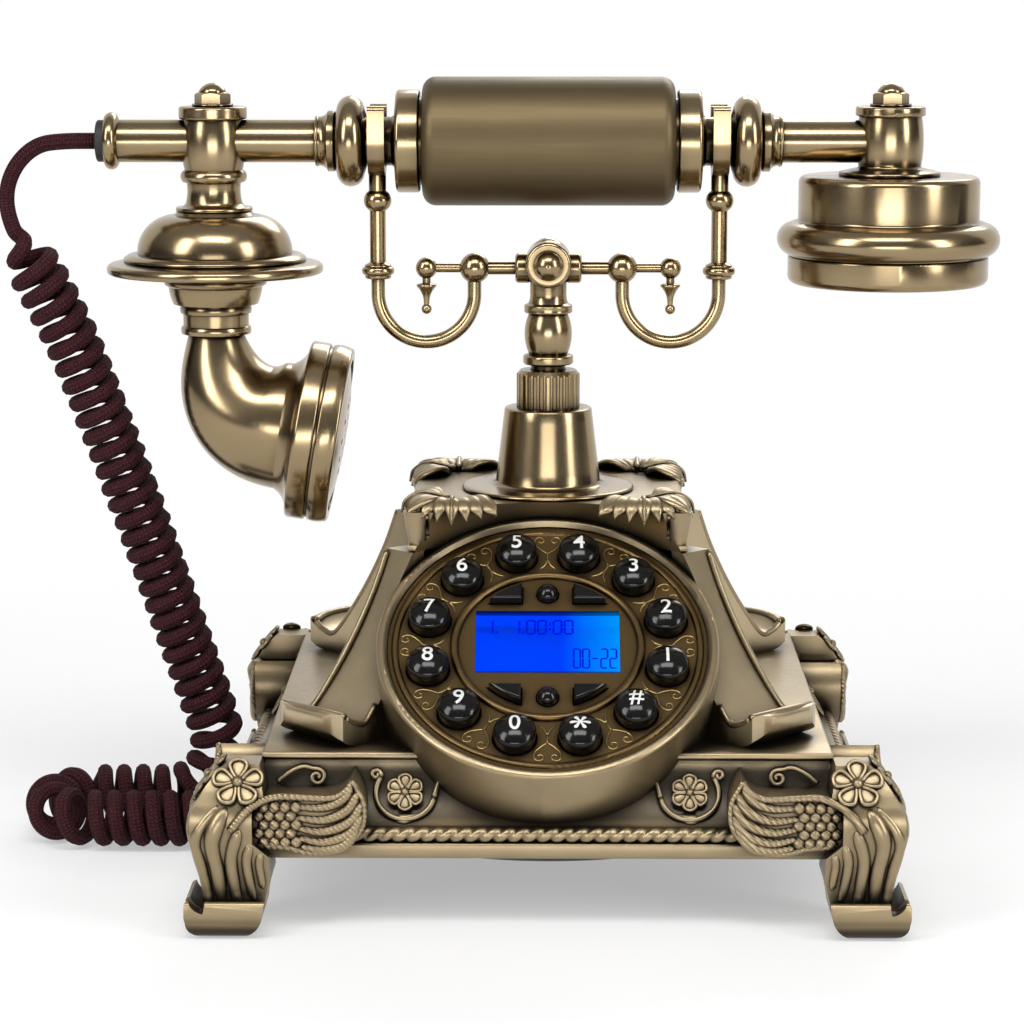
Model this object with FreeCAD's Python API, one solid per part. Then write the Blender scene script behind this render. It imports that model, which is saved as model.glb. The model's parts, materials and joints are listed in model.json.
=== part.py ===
"""Antique-style cradle telephone: tube handset, forked cradle, footed base with push keys in a round dial.

Millimetres. +Z is up, the dial faces -Y, and the origin lies on the table under the stem.
"""
import FreeCAD
import Part
import math
import os

from FreeCAD import Vector

# Handset, turned about a level axis that runs left to right above the stem
handset_z = 208.0
handset_half = 130.0
tube_r = 6.1
tube_bore_r = 4.2
grip_half = 36.2
grip_r = 18.4
neck_r = 7.0
mouth_x = -96.5
ear_x = 98.0
mouth_tilt_deg = 9.4

# Cradle on the hook-switch plunger
hub_z = 173.0
bar_z = 171.5
fork_x = 49.3
hook_inner_x = 21.4
fork_gap = 0.5
plunger_r = 5.0
plunger_gap = 0.3

# Stem and base heights
sleeve_top_z = 142.0
sleeve_bottom_z = 131.0
cone_bottom_z = 107.0
platform_bottom_z = 95.0
cornice_z = 47.0
ledge_z = 20.0
cover_bottom_z = 12.5

# Base half-widths, the same along X and Y
platform_half = 39.4
ledge_half = 88.5
foot_reach = 97.5
housing_half = 58.0
casting_wall = 3.0
well_half = housing_half - casting_wall

# Dial: its centre, the slope of its face above level, and its layout
dial_r = 47.4
dial_slope_deg = 37.0
dial_y = -59.6
dial_z = 74.0
drum_depth = 24.0
plate_r = 44.2
plate_front = -1.8
plate_back = -4.0
key_ring_r = 34.0
key_r = 5.8
key_gap = 0.4
key_step_deg = 30.0
key_first_deg = 15.0
function_key_x = 7.2
function_key_y = 15.4
function_key_reach = 22.3
function_key_row = 18.7
function_dot_r = 2.9
lcd_width = 40.0
lcd_height = 22.5
lcd_rise = 1.5

# Curly cord
wire_r = 2.35
coil_r = 6.1
coil_pitch = 5.5
pitch_per_bend = 58.0
quarter_turns = 4
cord_y = -8.0
plug_z = 7.2


def bowed(start, end, bow):
    """Arc between two points whose middle stands bow mm to the right of the way from start to end."""
    way = end - start
    side = Vector(way.z, 0, -way.x).normalize()
    return Part.Arc(start, (start + end) * 0.5 + side * bow, end).toShape()


def face_xz(points):
    """Face in the XZ plane through (x, z) points; a third number bows the edge that ends there."""
    corners = [Vector(point[0], 0, point[1]) for point in points]
    edges = []
    for index, point in enumerate(points):
        start, end = corners[index - 1], corners[index]
        if len(point) == 3:
            edges.append(bowed(start, end, point[2]))
        else:
            edges.append(Part.LineSegment(start, end).toShape())
    return Part.Face(Part.Wire(edges))


def dome_top(radius, low, top):
    """Profile point on the axis that closes a ball-shaped dome standing on the rim at (radius, low)."""
    rise = top - low
    sphere_r = (radius ** 2 + rise ** 2) / (2 * rise)
    return (0, top, sphere_r - math.sqrt(sphere_r ** 2 - (radius ** 2 + rise ** 2) / 4))


def turned(points, origin=Vector(0, 0, 0), axis=Vector(0, 0, 1)):
    """Solid turned from (radius, height) points, its local height along axis from origin."""
    solid = face_xz(points).revolve(Vector(0, 0, 0), Vector(0, 0, 1), 360)
    solid.Placement = FreeCAD.Placement(origin, FreeCAD.Rotation(Vector(0, 0, 1), axis))
    return solid


def rod(radius, start, end):
    """Round rod between two points."""
    return Part.makeCylinder(radius, (end - start).Length, start, end - start)


def ball(radius, centre):
    """Full sphere."""
    return Part.makeSphere(radius, centre)


def joined(shapes):
    """One solid made of overlapping shapes."""
    return shapes[0].multiFuse(shapes[1:]).removeSplitter()


def mirrored_pair(shape):
    """The shape and its mirror image across the middle, as separate solids."""
    return Part.makeCompound([shape, shape.mirror(Vector(0, 0, 0), Vector(1, 0, 0))])


def round_the_corners(shape):
    """Four copies of a shape, turned by quarter turns about the stem."""
    copies = []
    for quarter in range(4):
        copy = shape.copy()
        copy.rotate(Vector(0, 0, 0), Vector(0, 0, 1), 90 * quarter)
        copies.append(copy)
    return copies


def square_moulding(points):
    """Square block whose four sides all follow one half-profile of (half width, height) points."""
    left = [(-points[-1][0], points[-1][1])]
    for lower, upper in zip(points[-2::-1], points[:0:-1]):
        left.append((-lower[0], lower[1]) + upper[2:])
    along_y = face_xz(points + left).extrude(Vector(0, 2 * foot_reach, 0))
    along_y.translate(Vector(0, -foot_reach, 0))
    along_x = along_y.copy()
    along_x.rotate(Vector(0, 0, 0), Vector(0, 0, 1), 90)
    return along_y.common(along_x)


def on_dial(shape):
    """Move a shape from the dial's own frame, with its face at height 0, to its place on the base."""
    slope = FreeCAD.Rotation(Vector(1, 0, 0), dial_slope_deg)
    shape.Placement = FreeCAD.Placement(Vector(0, dial_y, dial_z), slope).multiply(shape.Placement)
    return shape


def save(node, shape):
    """Write one node's solids."""
    shape.exportStep("parts/" + node + ".step")


# Handset
level = Vector(0, 0, handset_z)
rightward = Vector(1, 0, 0)


def handset_tube():
    """Hollow tube from the corded end, with its rolled collar, to its blind end in the right boss."""
    end = ear_x + tube_bore_r
    start = 2.5 - handset_half
    return turned([(tube_bore_r, start), (7.3, start), (7.3, start + 3.4, 0.9), (tube_r, start + 3.9),
                   (tube_r, end), (tube_bore_r, end)], level, rightward)


def cord_grommet():
    """Rubber plug in the tube's corded end."""
    return turned([(0, -handset_half), (5.4, -handset_half), (6.0, 0.6 - handset_half, 0.15),
                   (6.0, 2.5 - handset_half), (tube_bore_r, 2.5 - handset_half),
                   (tube_bore_r, 9 - handset_half), (0, 9 - handset_half)], level, rightward)


def grip():
    """Plain cylinder with rolled ends."""
    return turned([(tube_r, -grip_half), (14.6, -grip_half), (grip_r, 3.8 - grip_half, 1.1),
                   (grip_r, grip_half - 3.8), (14.6, grip_half, 1.1), (tube_r, grip_half)], level, rightward)


def grip_collars():
    """Flange, fork neck, bead and tapering ferrule at each end of the grip."""
    right = turned([(tube_r, grip_half), (12.6, grip_half), (12.6, 36.9), (13.9, 36.9), (14.7, 37.7, 0.25),
                    (14.7, 42.6), (13.7, 43.8, 0.3), (9.2, 44.2), (neck_r, 45.2, -0.6), (neck_r, 52.2),
                    (9.6, 53.0), (9.6, 60.8, 3.4), (8.0, 61.2), (8.7, 62.0, 0.3), (8.7, 63.4),
                    (7.0, 66.0, -0.5), (7.0, 67.0, 0.3), (tube_r, 67.0)], level, rightward)
    return mirrored_pair(right)


def bosses():
    """Barrels that clamp the tube above the mouthpiece and the earpiece."""
    mouth = turned([(0, -20.2), (10.8, -20.2), (10.8, -18.9, 0.3), (8.2, -17.8, -0.4), (7.8, -12.0, -0.3),
                    (9.0, -11.6), (9.0, -8.6, 0.6), (8.4, -8.2), (8.4, 6.1, 0.8), (9.2, 6.3),
                    (9.8, 6.9, 0.2), (9.8, 9.1), (9.0, 9.9, 0.25), (0, 9.9)], Vector(mouth_x, 0, handset_z))
    ear = turned([(0, -9.8), (14.4, -9.8), (14.4, -8.6, 0.25), (10.4, -7.7), (9.0, -7.0, -0.3), (9.0, 7.0, 0.6),
                  (9.5, 7.3), (10.0, 7.9, 0.2), (10.0, 9.4), (9.3, 10.0, 0.2), (0, 10.0)],
                 Vector(ear_x, 0, handset_z))
    tube_space = rod(tube_r, Vector(-handset_half, 0, handset_z), Vector(ear_x + tube_bore_r, 0, handset_z))
    return Part.makeCompound([mouth.cut(tube_space), ear.cut(tube_space)])


def cap_nuts():
    """Hexagonal domed nut on a washer on top of each boss."""
    across_corners = 5.2
    nuts = []
    for x, bottom in ((mouth_x, handset_z + 9.9), (ear_x, handset_z + 10.0)):
        foot = Vector(x, 0, bottom)
        corners = [foot + Vector(across_corners * math.cos(k * math.pi / 3),
                                 across_corners * math.sin(k * math.pi / 3), 0.8) for k in range(7)]
        hexagon = Part.Face(Part.makePolygon(corners)).extrude(Vector(0, 0, 3.2))
        chamfer = turned([(0, 0), (5.3, 0), (5.3, 3.3), (4.3, 4.0), (0, 4.0)], foot)
        crown = turned([(0, 0), (5.8, 0), (5.8, 0.8, 0.2), (3.9, 0.8), (3.9, 4.4),
                        dome_top(3.9, 4.4, 6.7)], foot)
        nuts.append(joined([hexagon.common(chamfer), crown]))
    return Part.makeCompound(nuts)


def mouthpiece_bell():
    """Dome, wide disc and stepped neck turned in one piece under the left boss."""
    return turned([(0, -55.5), (10.0, -55.5), (10.0, -53.5, 0.2), (9.5, -53.2), (9.5, -49.8), (10.2, -49.5),
                   (10.2, -47.5, 0.2), (12.3, -46.8), (13.6, -41.9, 0.2), (14.6, -41.3), (14.6, -39.5, 0.3),
                   (22.0, -38.6, -0.4), (30.2, -38.0), (31.2, -37.0, 0.3), (31.2, -36.2), (29.8, -35.0, 0.3),
                   (26.2, -34.4), (26.2, -33.3, 0.2), (25.0, -32.5), (22.4, -32.1), (11.6, -21.1, 3.2),
                   (10.8, -20.2), (0, -20.2)], Vector(mouth_x, 0, handset_z))


# The mouthpiece elbow runs from under the neck, round a corner, to the mouth's own axis
elbow_start = Vector(mouth_x, 0, handset_z - 55.5)
mouth_axis = Vector(math.cos(math.radians(mouth_tilt_deg)), 0, -math.sin(math.radians(mouth_tilt_deg)))
elbow_corner = Vector(mouth_x, 0, handset_z - 79.6)
elbow_end = elbow_corner + mouth_axis * 19.5
elbow_start_r = 8.0
elbow_growth = 10.5
elbow_wall = 1.6


def elbow_loft(inset):
    """Smooth horn through circles that grow along a quadratic curve round the corner."""
    sections = []
    section_count = 6
    for index in range(section_count):
        t = index / (section_count - 1)
        centre = elbow_start * (1 - t) ** 2 + elbow_corner * (2 * t * (1 - t)) + elbow_end * t ** 2
        heading = (elbow_corner - elbow_start) * (1 - t) + (elbow_end - elbow_corner) * t
        radius = elbow_start_r + elbow_growth * math.sin(t * math.pi / 2) - inset
        sections.append(Part.Wire(Part.Circle(centre, heading, radius).toShape()))
    return Part.makeLoft(sections, True)


def mouthpiece_horn():
    """Hollow elbow."""
    return elbow_loft(0).cut(elbow_loft(elbow_wall))


def mouthpiece_ring():
    """Flared ring in two bands round the mouth, with an inner ledge for the microphone."""
    return turned([(16.9, 0), (18.5, 0), (24.9, 4.4, -1.1), (26.0, 5.4, 0.3), (26.0, 9.6), (25.2, 10.3, 0.2),
                   (25.2, 10.9), (25.9, 11.5, 0.2), (25.6, 16.0, 0.3), (24.6, 16.9, 0.3), (22.4, 16.9),
                   (22.4, 12.0), (20.5, 11.0), (16.9, 2.5)], elbow_end, mouth_axis)


def sound_holes(ring_step, radius, low, high, origin, axis):
    """Rods for a middle hole and two rings of holes round it."""
    holes = [turned([(0, low), (radius, low), (radius, high), (0, high)])]
    for ring in (1, 2):
        count = 6 * ring
        for index in range(count):
            turn = 2 * math.pi * index / count
            hole = holes[0].copy()
            hole.translate(Vector(ring_step * ring * math.cos(turn), ring_step * ring * math.sin(turn), 0))
            holes.append(hole)
    pattern = Part.makeCompound(holes)
    pattern.Placement = FreeCAD.Placement(origin, FreeCAD.Rotation(Vector(0, 0, 1), axis))
    return pattern


def mouthpiece_cap():
    """Domed cap with sound holes."""
    cap = turned([(0, 14.2), (20.0, 12.2), (22.4, 12.1), (22.4, 15.4), (21.6, 16.2, 0.2), (0, 18.0, 0.9)],
                 elbow_end, mouth_axis)
    return cap.cut(sound_holes(5.5, 0.9, 11, 19, elbow_end, mouth_axis))


def microphone():
    """Capsule whose flange sits on the ring's ledge."""
    return turned([(0, 4.5), (11.0, 4.5), (11.0, 10.6), (20.5, 11.0), (22.3, 11.95), (0, 11.95)],
                  elbow_end, mouth_axis)


ear_top = Vector(ear_x, 0, handset_z)


def earpiece_shell():
    """Stepped cup with a fat rolled bead, open below."""
    return turned([(24.0, -32.6), (28.2, -32.6), (29.2, -32.2, 0.2), (29.2, -23.6, 2.8), (27.2, -22.9),
                   (26.0, -22.0, -0.4), (26.0, -11.6), (24.2, -9.8, 0.5), (0, -9.8), (0, -12.5), (22.0, -12.5),
                   (24.0, -14.5)], ear_top)


def earpiece_cap():
    """Screwed cap with a dished, perforated face."""
    cap = turned([(0, -38.4), (21.0, -39.6), (26.6, -40.8, 0.3), (28.8, -38.6, 0.6), (28.8, -33.4),
                  (28.2, -32.6, 0.2), (24.0, -32.6), (24.0, -35.8), (0, -35.8)], ear_top)
    return cap.cut(sound_holes(6.5, 1.2, -42, -35, ear_top, Vector(0, 0, 1)))


def receiver():
    """Receiver capsule on the cap's inner face."""
    return turned([(0, -35.8), (18.0, -35.8), (18.0, -30.0), (9.0, -29.0), (9.0, -26.0), (0, -26.0)], ear_top)


# Cradle
def stem_post():
    """Plunger rod, rings, bulb and the cross-drilled hub."""
    post = turned([(0, 86.0), (3.0, 86.0), (3.0, 109.0), (plunger_r, 111.0), (plunger_r, 143.2), (6.5, 143.6),
                   (7.3, 144.4, 0.25), (7.3, 145.6), (6.5, 146.4, 0.25), (5.7, 146.8), (5.7, 158.2, 1.2),
                   (6.5, 158.6), (7.0, 159.2, 0.2), (7.0, 160.4), (6.5, 161.0, 0.2), (5.8, 161.4),
                   (5.3, 164.5, -0.2), (5.3, 176.0), dome_top(5.3, 176.0, 180.3)])
    return joined([post, rod(6.6, Vector(0, -6.5, hub_z), Vector(0, 6.5, hub_z))])


def hub_cap():
    """Ringed ball nut on the hub's front."""
    return turned([(0, 0), (6.1, 0), (6.6, 0.5, 0.1), (6.6, 1.3), (5.4, 2.2, 0.3), (4.13, 2.2),
                   dome_top(4.13, 2.2, 7.7)], Vector(0, -6.5, hub_z), Vector(0, -1, 0))


def cross_bar(post):
    """Beaded arm on each side of the hub."""
    beads = [turned([(0, 5), (3.4, 5), (4.3, 6.2, 0.3), (4.3, 8.6), (3.2, 9.6, 0.3), (0, 9.6)],
                    Vector(0, 0, bar_z), rightward),
             ball(4.4, Vector(21.3, 0, bar_z)), ball(3.1, Vector(35.3, 0, bar_z)),
             rod(1.9, Vector(5, 0, bar_z), Vector(21.3, 0, bar_z)),
             rod(1.3, Vector(21.3, 0, bar_z), Vector(35.3, 0, bar_z))]
    return mirrored_pair(joined(beads).cut(post))


def hooks(bars):
    """U hook under each arm, from the arm's ball to the fork's foot."""
    bend_z = 164.0
    radius = (fork_x - hook_inner_x) / 2
    start = Vector(hook_inner_x, 0, bar_z - 2)
    low = Vector(hook_inner_x, 0, bend_z)
    middle = Vector(hook_inner_x + radius, 0, bend_z - radius)
    outer = Vector(fork_x, 0, bend_z)
    top = Vector(fork_x, 0, 168.4)
    path = Part.Wire([Part.LineSegment(start, low).toShape(), Part.Arc(low, middle, outer).toShape(),
                      Part.LineSegment(outer, top).toShape()])
    section = Part.Wire(Part.Circle(start, Vector(0, 0, -1), 2.0).toShape())
    return mirrored_pair(path.makePipeShell([section], True, False).cut(bars))


def forks():
    """Beaded rod and an open strap that holds the handset's neck from both sides."""
    inner = neck_r + fork_gap
    outer = inner + 2.5
    tip = handset_z + 9.0
    strap_width = 4.8
    stalk = turned([(0, 168.4), (3.2, 168.4), (3.8, 168.9, 0.15), (3.8, 169.4), (4.4, 169.8), (4.4, 171.6, 0.3),
                    (3.8, 171.9), (3.8, 172.4, 0.1), (2.3, 173.2), (2.3, 188.0), (3.2, 188.8), (3.2, 193.2, 0.8),
                    (2.5, 193.8), (2.5, 199.0), (0, 199.0)], Vector(fork_x, 0, 0))
    strap = face_xz([(-outer, tip, 1.25), (-outer, handset_z), (outer, handset_z, outer), (outer, tip),
                     (inner, tip, 1.25), (inner, handset_z), (-inner, handset_z, -inner), (-inner, tip)])
    strap = strap.extrude(Vector(0, strap_width, 0))
    strap.translate(Vector(0, -strap_width / 2, 0))
    strap.rotate(Vector(0, 0, 0), Vector(0, 0, 1), 90)
    strap.translate(Vector(fork_x, 0, 0))
    return mirrored_pair(joined([stalk, strap]))


def finials(bars):
    """Pendant under each arm's end ball."""
    pendant = turned([(0, 158.1), (0.8, 160.87, 1.08), (0.9, 162.5), (2.7, 166.0, -0.3), (2.7, 166.8, 0.2),
                      (1.2, 167.2), (1.2, 169.5), (0, 169.5)], Vector(35.3, 0, 0))
    return mirrored_pair(pendant.cut(bars))


# Stem and base castings
def cone_sleeve():
    """Tapered sleeve on its round foot plate, bored for the plunger."""
    bore = plunger_r + plunger_gap
    return turned([(bore, cone_bottom_z), (24.2, cone_bottom_z), (25.0, 107.6, 0.2), (24.2, 108.3, 0.2),
                   (17.0, 108.6), (15.2, 109.8, -0.4), (12.7, 130.5), (12.2, sleeve_bottom_z, 0.1),
                   (bore, sleeve_bottom_z)])


def guide_sleeve():
    """Fluted bush in which the plunger slides."""
    bore = plunger_r + plunger_gap
    radius = 9.2
    flutes = 30
    sleeve = turned([(bore, sleeve_bottom_z), (radius, sleeve_bottom_z), (radius, sleeve_top_z - 1.3),
                     (radius - 1.1, sleeve_top_z), (bore, sleeve_top_z)])
    grooves = []
    for index in range(flutes):
        turn = 2 * math.pi * index / flutes
        foot = Vector((radius + 0.2) * math.cos(turn), (radius + 0.2) * math.sin(turn), sleeve_bottom_z)
        grooves.append(Part.makeCylinder(0.6, sleeve_top_z - sleeve_bottom_z, foot))
    return sleeve.cut(Part.makeCompound(grooves))


def drum_space():
    """Everything in front of the drum's back edge within its radius."""
    return on_dial(Part.makeCylinder(dial_r, drum_depth + dial_r, Vector(0, 0, -drum_depth)))


def plinth_block():
    """Ledge, round moulding, coved frieze and cornice on all four sides, still solid."""
    return square_moulding([(86.8, ledge_z), (ledge_half, 21.4, 0.4), (ledge_half, 23.8), (87.6, 24.6, 0.2),
                            (86.2, 24.8), (86.2, 28.4, 1.7), (85.4, 28.8), (76.4, 43.6, -1.4), (76.4, 44.6),
                            (77.4, 45.2, -0.1), (77.8, 46.0, 0.2), (77.0, cornice_z, 0.2)])


def screw_places():
    """Where the bottom cover's screws stand."""
    return [Vector(x, y, 0) for x in (-69, 69) for y in (-69, 69)]


def plinth(block, drum, jack):
    """Hollow plinth with screw posts in its corners, open where the drum and the line jack pass through."""
    hollow = square_moulding([(82, ledge_z - 1), (82, 27), (73, 42), (well_half, 44), (well_half, cornice_z + 1)])
    frame = block.cut(hollow)
    posts = [rod(5.5, place + Vector(0, 0, 22), place + Vector(0, 0, 46)) for place in screw_places()]
    screw_holes = [rod(1.5, place + Vector(0, 0, 21), place + Vector(0, 0, 32)) for place in screw_places()]
    frame = joined([frame] + posts)
    return frame.cut(Part.makeCompound(screw_holes + [drum, jack]))


def housing_block():
    """Concave pyramid, still solid."""
    return square_moulding([(housing_half, cornice_z), (housing_half - 0.6, 49.0, 0.2), (housing_half - 2, 49.8),
                            (38.0, platform_bottom_z, -4.5)])


def base_housing(block, drum):
    """Hollow concave pyramid, open below and above and cut for the drum."""
    inner = square_moulding([(well_half, cornice_z - 1), (well_half - 1, 49.8),
                             (38.0 - casting_wall, platform_bottom_z + 1, -4.5)])
    return block.cut(inner).cut(drum)


def leaf_lobes():
    """Seven pointed lobes of a leaf that droops over one platform corner."""
    edge = 37.0
    spacing = 6.0
    lobes = []
    for step in range(-3, 4):
        place = Vector(edge - spacing * max(step, 0), edge - spacing * max(-step, 0), 95.6 + 1.2 * abs(step))
        lobes.append(Part.makeCone(1.8, 3.8, 106.6 - place.z, place))
    return lobes


def top_platform(drum):
    """Moulded square cap with a leaf over each corner, bored for the plunger and cut for the drum."""
    cap = square_moulding([(38.2, platform_bottom_z), (platform_half, 95.8, 0.2), (platform_half, 97.0),
                           (37.4, 98.0), (35.8, 100.6, -0.5), (37.4, 103.4, -0.5), (38.8, 104.2),
                           (39.0, 106.0, 0.4), (38.0, cone_bottom_z, 0.2)])
    leaves = round_the_corners(Part.makeCompound(leaf_lobes()))
    cap = joined([cap] + [lobe for leaf in leaves for lobe in leaf.Solids])
    bore = rod(plunger_r + 3, Vector(0, 0, platform_bottom_z - 1), Vector(0, 0, cone_bottom_z + 1))
    return cap.cut(bore).cut(drum)


def scroll_brackets(housing, drum, platform):
    """Ribbon that sweeps down each corner and curls up at its foot."""
    half_width = 13.5
    profile = face_xz([(44, platform_bottom_z), (55, platform_bottom_z), (82, 52.4, 2.6), (92.5, 56.4, 1.5),
                       (95.0, 54.4, -1.0), (86, cornice_z, -2.2), (44, cornice_z)])
    ribbon = profile.extrude(Vector(0, 2 * half_width, 0))
    ribbon.translate(Vector(0, -half_width, 0))
    taper = Part.Face(Part.makePolygon([Vector(40, -8, 0), Vector(95, -half_width, 0), Vector(95, half_width, 0),
                                        Vector(40, 8, 0), Vector(40, -8, 0)])).extrude(Vector(0, 0, 120))
    bow_u = 72
    bow = joined([Part.makeBox(bow_u - 40, 2 * half_width, 60, Vector(40, -half_width, 40)),
                  rod(24, Vector(bow_u, 0, 40), Vector(bow_u, 0, 100))])
    ribbon = ribbon.common(taper).common(bow)
    ribbon.rotate(Vector(0, 0, 0), Vector(0, 0, 1), 45)
    return Part.makeCompound([copy.cut(Part.makeCompound([housing, drum, platform]))
                              for copy in round_the_corners(ribbon)])


def feet(plinth_solid):
    """Cabriole leg with a rolled toe and a wing on each outer face, at every corner."""
    side = face_xz([(93.4, 0), (97.2, 4.6, 1.0), (97.5, 8.6, 0.2), (96.2, 10.4, 0.6), (92.4, 7.2, -0.7),
                    (92.0, 12.0, -0.3), (93.2, 19.6, -0.2), (95.6, 29.0, 0.3), (94.0, 37.0, 0.8), (87, 46, 0.6),
                    (77.5, 46), (76, 38.5), (79, 36), (79, 26), (74.6, 22), (74.5, 15, -0.2), (76.4, 6.4, -0.3),
                    (81.4, 0, 1.0)]).extrude(Vector(0, foot_reach, 0))
    diagonal = Vector(1, -1, 0)
    leg = side.common(side.mirror(Vector(0, 0, 0), diagonal))
    wing = face_xz([(84, 24), (84, 36), (73.2, 38.2, 0.6), (60, 38.2, -0.3), (52.3, 43.0, -1.4), (48.8, 35.5, 0.7),
                    (56, 23.2, 2.4), (64, 22.4, 0.3), (72, 24, -0.3)]).extrude(Vector(0, 18, 0))
    wing.translate(Vector(0, 74, 0))
    foot = joined([leg, wing, wing.mirror(Vector(0, 0, 0), diagonal)]).cut(plinth_solid)
    return Part.makeCompound(round_the_corners(foot))


def bottom_cover():
    """Plate inside the ledge with a round dish below it and pillars for the main board."""
    half = 82
    plate = Part.makeBox(2 * half, 2 * half, 2, Vector(-half, -half, ledge_z))
    dish = turned([(0, cover_bottom_z), (62, cover_bottom_z), (69, 15.5, 1.0), (70, ledge_z), (0, ledge_z)])
    pillars = [rod(3, Vector(x, y, 21), Vector(x, y, 30)) for x in (-48, 48) for y in (-30, 52)]
    cover = joined([plate, dish] + pillars)
    holes = [rod(1.5, place + Vector(0, 0, 19), place + Vector(0, 0, 23)) for place in screw_places()]
    return cover.cut(Part.makeCompound(holes))


def bottom_screws():
    """Screws up through the cover into the plinth's posts."""
    return Part.makeCompound([turned([(0, 18.2), (2.4, 18.2), (3.0, 18.8, 0.15), (3.0, ledge_z), (1.5, ledge_z),
                                      (1.5, 32), (0, 32)], place) for place in screw_places()])


# Dial, in its own frame: X to the right, Y up the slope, Z out of the face
def dial_drum():
    """Round wall with a rolled rim and an inner ledge for the plate."""
    return on_dial(turned([(45.0, -drum_depth), (dial_r, -drum_depth), (dial_r, -1.7), (46.3, -0.3, 0.4),
                           (45.4, -0.3, 0.1), (44.4, -1.4), (44.4, plate_back), (42.2, plate_back), (42.2, -6.0),
                           (45.0, -8.5)]))


def digit_places():
    """Centre of each digit key with its node name, anticlockwise from the right."""
    names = ("2", "3", "4", "5", "6", "7", "8", "9", "0", "star", "hash", "1")
    places = []
    for index, name in enumerate(names):
        turn = math.radians(key_first_deg + key_step_deg * index)
        places.append(("key_" + name, Vector(key_ring_r * math.cos(turn), key_ring_r * math.sin(turn), 0)))
    return places


def corner_key(grow, low, high):
    """Quarter-lens prism for the key at the lower right of the display, with its outline grown by grow."""
    left, top = function_key_x - grow, -function_key_y + grow
    reach = function_key_reach + grow
    right = Vector(math.sqrt(reach ** 2 - top ** 2), top, low)
    bottom = Vector(left, -math.sqrt(reach ** 2 - left ** 2), low)
    corner = Vector(left, top, low)
    turn = (math.atan2(right.y, right.x) + math.atan2(bottom.y, bottom.x)) / 2
    middle = Vector(reach * math.cos(turn), reach * math.sin(turn), low)
    edges = [Part.LineSegment(corner, right).toShape(), Part.Arc(right, middle, bottom).toShape(),
             Part.LineSegment(bottom, corner).toShape()]
    return Part.Face(Part.Wire(edges)).extrude(Vector(0, 0, high - low))


def four_ways(shape):
    """The shape at the lower right, lower left, upper right and upper left, with matching names."""
    across = Vector(1, 0, 0)
    upward = Vector(0, 1, 0)
    origin = Vector(0, 0, 0)
    left = shape.mirror(origin, across)
    return [("lower_right", shape), ("lower_left", left), ("upper_right", shape.mirror(origin, upward)),
            ("upper_left", left.mirror(origin, upward))]


def function_dots():
    """Centre of the round keys above and below the display."""
    return [("upper_middle", Vector(0, function_key_row, 0)), ("lower_middle", Vector(0, -function_key_row, 0))]


def dial_plate():
    """Plate with a raised ring round the display and holes for the display and every key."""
    plate = turned([(0, plate_back), (plate_r, plate_back), (plate_r, plate_front), (43.2, plate_front),
                    (42.6, plate_front + 0.6, 0.1), (41.8, plate_front + 0.6), (41.2, plate_front, 0.1),
                    (27.0, plate_front), (26.4, plate_front + 1.2, 0.2), (25.4, plate_front + 1.2),
                    (24.6, plate_front, 0.2), (0, plate_front)])
    deep = plate_back - 1
    through = 5
    holes = [Part.makeCylinder(key_r + key_gap, through, place + Vector(0, 0, deep)) for _, place in digit_places()]
    holes += [Part.makeCylinder(function_dot_r + key_gap, through, place + Vector(0, 0, deep))
              for _, place in function_dots()]
    holes += [hole for _, hole in four_ways(corner_key(key_gap, deep, deep + through))]
    holes.append(lcd_block(0, deep, deep + through))
    return on_dial(plate.cut(Part.makeCompound(holes)))


def lcd_block(grow, low, high):
    """Box the size of the display, grown by grow on every side."""
    width, height = lcd_width + 2 * grow, lcd_height + 2 * grow
    return Part.makeBox(width, height, high - low, Vector(-width / 2, lcd_rise - height / 2, low))


mat_top = -10.4
board_top = -11.9


def lcd_window():
    """Clear pane in the plate."""
    return on_dial(lcd_block(0, plate_back, plate_front - 0.2))


def lcd_module():
    """Display behind the pane, standing on the key mat."""
    return on_dial(lcd_block(1.8, mat_top, plate_back))


def keypad_mat():
    """Rubber mat on the key board."""
    return on_dial(turned([(0, board_top), (41, board_top), (41, mat_top), (0, mat_top)]))


def keypad_board():
    """Round circuit board that fills the drum."""
    return on_dial(turned([(0, board_top - 1.6), (45, board_top - 1.6), (45, board_top), (0, board_top)]))


def digit_key(place):
    """Domed key with a retaining flange and a foot."""
    key = turned([(0, -8.2), (2.0, -8.2), (2.0, -6.8), (7.2, -6.8), (7.2, -5.6), (key_r, -5.2), (key_r, 0.8),
                  (4.6, 3.0, 0.45), dome_top(4.6, 3.0, 4.2)])
    key.translate(place)
    return on_dial(key)


def dot_key(place):
    """Small round function key."""
    key = turned([(0, -8.2), (1.5, -8.2), (1.5, -6.8), (3.7, -6.8), (3.7, -5.6), (function_dot_r, -5.4),
                  (function_dot_r, -0.4), dome_top(function_dot_r, -0.4, 1.4)])
    key.translate(place)
    return on_dial(key)


def corner_keys():
    """Four quarter-lens function keys with their flanges."""
    cap = corner_key(0, -5.6, 1.0)
    rim = [edge for edge in cap.Edges if min(v.Z for v in edge.Vertexes) > 0.9]
    cap = cap.makeFillet(0.9, rim)
    key = joined([cap, corner_key(0.7, -6.8, -5.6)])
    return [("key_" + name, on_dial(shape)) for name, shape in four_ways(key)]


# Electronics and sockets
def main_board():
    """Circuit board on the cover's pillars."""
    return Part.makeBox(112, 100, 1.6, Vector(-56, -38, 30))


def ringer_speaker():
    """Flat loudspeaker on the cover, under the board."""
    return turned([(0, 22), (19, 22), (19, 24, 0.3), (15, 26), (9, 26.4), (9, 29), (0, 29)], Vector(-20, 30, 0))


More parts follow.
